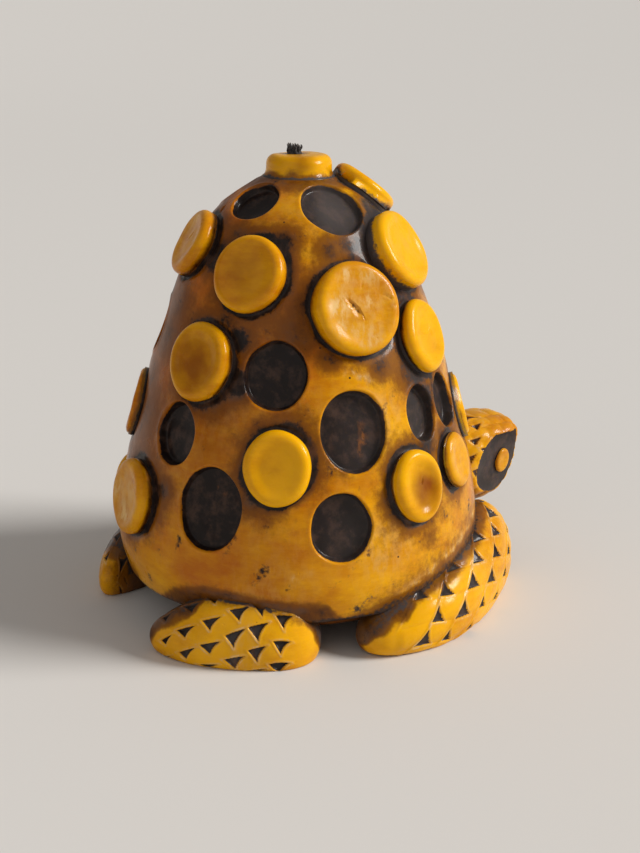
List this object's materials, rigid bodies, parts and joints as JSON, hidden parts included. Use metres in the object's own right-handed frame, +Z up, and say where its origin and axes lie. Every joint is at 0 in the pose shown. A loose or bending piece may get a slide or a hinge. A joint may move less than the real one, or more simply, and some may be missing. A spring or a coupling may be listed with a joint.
{
  "type": "tortoise candle",
  "caption": "Solid wax tortoise candle: a tall domed shell with raised discs and sunk pits, four scaly legs, a scaly head and a wick through the crown.",
  "frame": {"origin": "middle of the footprint box, on the table under the candle", "axes": "+Z up, +Y towards the head, +X to the tortoise's own right side"},
  "size_m": [0.0866, 0.1004, 0.1018],
  "materials": {
    "shell_wax": "gloss",
    "disc_wax": "gloss",
    "limb_wax": "gloss",
    "iris_wax": "satin",
    "belly_wax": "satin",
    "wick_cotton": "matte"
  },
  "bodies": {
    "root": {"belly": "belly_wax", "crown_disc": "disc_wax", "eye_left": "iris_wax", "eye_right": "iris_wax", "front_leg_left": "limb_wax", "front_leg_right": "limb_wax", "head": "limb_wax", "hind_leg_left": "limb_wax", "hind_leg_right": "limb_wax", "shell": "shell_wax", "shell_disc_01": "disc_wax", "shell_disc_02": "disc_wax", "shell_disc_03": "disc_wax", "shell_disc_04": "disc_wax", "shell_disc_05": "disc_wax", "shell_disc_06": "disc_wax", "shell_disc_07": "disc_wax", "shell_disc_08": "disc_wax", "shell_disc_09": "disc_wax", "shell_disc_10": "disc_wax", "shell_disc_11": "disc_wax", "shell_disc_12": "disc_wax", "shell_disc_13": "disc_wax", "shell_disc_14": "disc_wax", "shell_disc_15": "disc_wax", "shell_disc_16": "disc_wax", "shell_disc_17": "disc_wax", "shell_disc_18": "disc_wax", "shell_disc_19": "disc_wax", "shell_disc_20": "disc_wax", "shell_disc_21": "disc_wax", "shell_disc_22": "disc_wax", "shell_disc_23": "disc_wax", "shell_disc_24": "disc_wax", "wick": "wick_cotton"}
  },
  "joints": []
}
